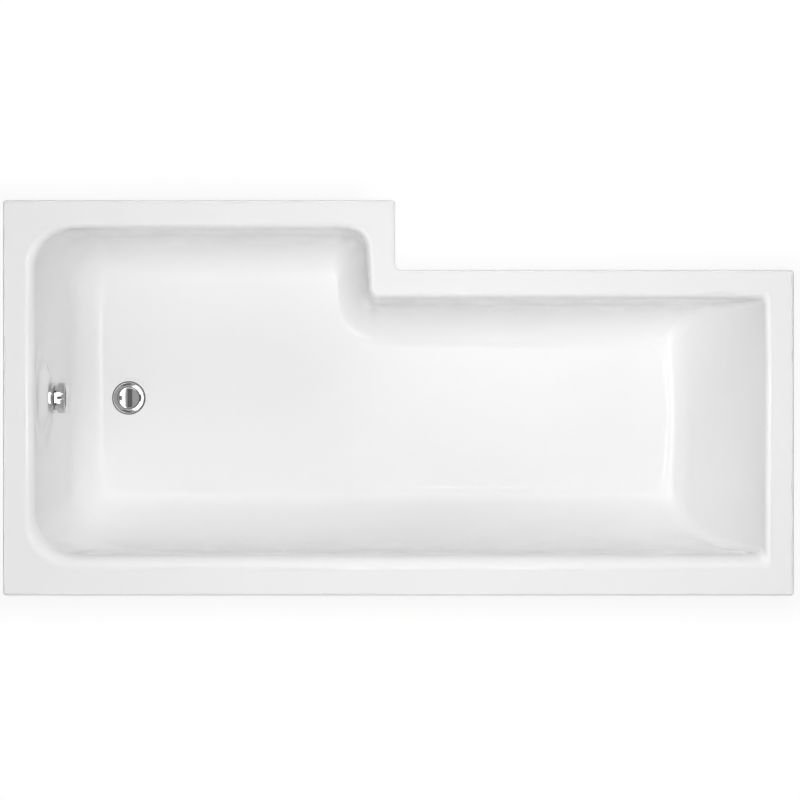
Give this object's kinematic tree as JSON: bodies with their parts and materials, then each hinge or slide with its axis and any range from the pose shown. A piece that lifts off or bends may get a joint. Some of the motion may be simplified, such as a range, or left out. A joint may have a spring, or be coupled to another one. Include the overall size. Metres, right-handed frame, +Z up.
{
  "type": "l-shaped shower bath",
  "caption": "White acrylic L-shaped shower bath with a sloped backrest, a wide showering end, a pop-up waste worked by a turning overflow knob, and a levelling foot frame.",
  "frame": {"origin": "middle of the plan outline on the floor under the feet", "axes": "+Z up, +X along the length towards the waste end, -Y towards the room side with the step, +Y towards the wall"},
  "size_m": [1.7, 0.85, 0.545],
  "materials": {
    "acrylic": "polished white acrylic",
    "glass_fibre": "sprayed resin and glass fibre",
    "chipboard": "raw chipboard",
    "batten_wood": "raw softwood",
    "galvanised_steel": "galvanised",
    "zinc_plate": "bright zinc plated",
    "foot_plastic": "matte",
    "chrome": "polished",
    "rubber": "matte",
    "fitting_plastic": "satin white polypropylene",
    "lifter_brass": "machined",
    "hose_plastic": "satin light grey",
    "cable_black": "satin",
    "cable_steel": "stranded"
  },
  "bodies": {
    "bath": {"bath_shell": "acrylic", "glass_fibre_backing": "glass_fibre", "baseboard": "chipboard", "rim_batten_back": "batten_wood", "rim_batten_waste_end": "batten_wood", "rim_batten_head_end": "batten_wood", "rim_batten_front": "batten_wood", "rim_batten_step": "batten_wood", "rim_batten_narrow_front": "batten_wood", "leg_bar_waste_end": "galvanised_steel", "leg_bar_head_end": "galvanised_steel", "centre_foot_bracket": "galvanised_steel", "wall_bracket_waste_end": "galvanised_steel", "wall_bracket_head_end": "galvanised_steel", "leg_bar_screws": "zinc_plate", "centre_bracket_screws": "zinc_plate", "wall_bracket_screws": "zinc_plate", "foot_lock_nuts": "zinc_plate", "hose_clip_overflow": "zinc_plate", "hose_clip_waste": "zinc_plate", "waste_flange": "chrome", "overflow_flange": "chrome", "waste_upper_gasket": "rubber", "waste_lower_gasket": "rubber", "overflow_gasket": "rubber", "waste_body": "fitting_plastic", "overflow_body": "fitting_plastic", "drum_cover": "fitting_plastic", "overflow_hose": "hose_plastic", "cable_sheath": "cable_black"},
    "knob": {"overflow_knob": "chrome", "knob_spindle": "lifter_brass", "cable_drum": "fitting_plastic"},
    "plug": {"waste_plug": "chrome", "plug_seal": "rubber"},
    "lifter": {"lifter_lever": "lifter_brass", "lifter_shaft": "lifter_brass", "lifter_crank": "lifter_brass"},
    "pull_wire": {"cable_wire": "cable_steel"},
    "foot_waste_back": {"foot_pad_waste_back": "foot_plastic", "foot_rod_waste_back": "zinc_plate"},
    "foot_waste_front": {"foot_pad_waste_front": "foot_plastic", "foot_rod_waste_front": "zinc_plate"},
    "foot_head_back": {"foot_pad_head_back": "foot_plastic", "foot_rod_head_back": "zinc_plate"},
    "foot_head_front": {"foot_pad_head_front": "foot_plastic", "foot_rod_head_front": "zinc_plate"},
    "foot_centre": {"foot_pad_centre": "foot_plastic", "foot_rod_centre": "zinc_plate"}
  },
  "joints": [
    {"name": "knob_turn", "type": "hinge", "parent": "bath", "child": "knob", "pos_m": [0.76245, 0, 0.445], "axis": [0.9976, 0, -0.0698], "range_deg": [0, 110]},
    {"name": "plug_lift", "type": "slide", "parent": "bath", "child": "plug", "axis": [0, 0, 1], "range_m": [0, 0.0101]},
    {"name": "lifter_swing", "type": "hinge", "parent": "bath", "child": "lifter", "pos_m": [0.589, 0, 0.1151], "axis": [0, -1, 0], "range_deg": [0, 32.4]},
    {"name": "wire_pull", "type": "slide", "parent": "bath", "child": "pull_wire", "axis": [1, 0, 0], "range_m": [0, 0.0112]},
    {"name": "foot_height_waste_back", "type": "slide", "parent": "bath", "child": "foot_waste_back", "axis": [0, 0, -1], "range_m": [-0.01, 0.03]},
    {"name": "foot_height_waste_front", "type": "slide", "parent": "bath", "child": "foot_waste_front", "axis": [0, 0, -1], "range_m": [-0.01, 0.03]},
    {"name": "foot_height_head_back", "type": "slide", "parent": "bath", "child": "foot_head_back", "axis": [0, 0, -1], "range_m": [-0.01, 0.03]},
    {"name": "foot_height_head_front", "type": "slide", "parent": "bath", "child": "foot_head_front", "axis": [0, 0, -1], "range_m": [-0.01, 0.03]},
    {"name": "foot_height_centre", "type": "slide", "parent": "bath", "child": "foot_centre", "axis": [0, 0, -1], "range_m": [-0.008, 0.02]}
  ],
  "couplings": [
    {"joint": "plug_lift", "follows": "knob_turn", "m_per_rad": 0.0052087},
    {"joint": "lifter_swing", "follows": "knob_turn", "ratio": 0.29323},
    {"joint": "wire_pull", "follows": "knob_turn", "m_per_rad": 0.0057875}
  ]
}
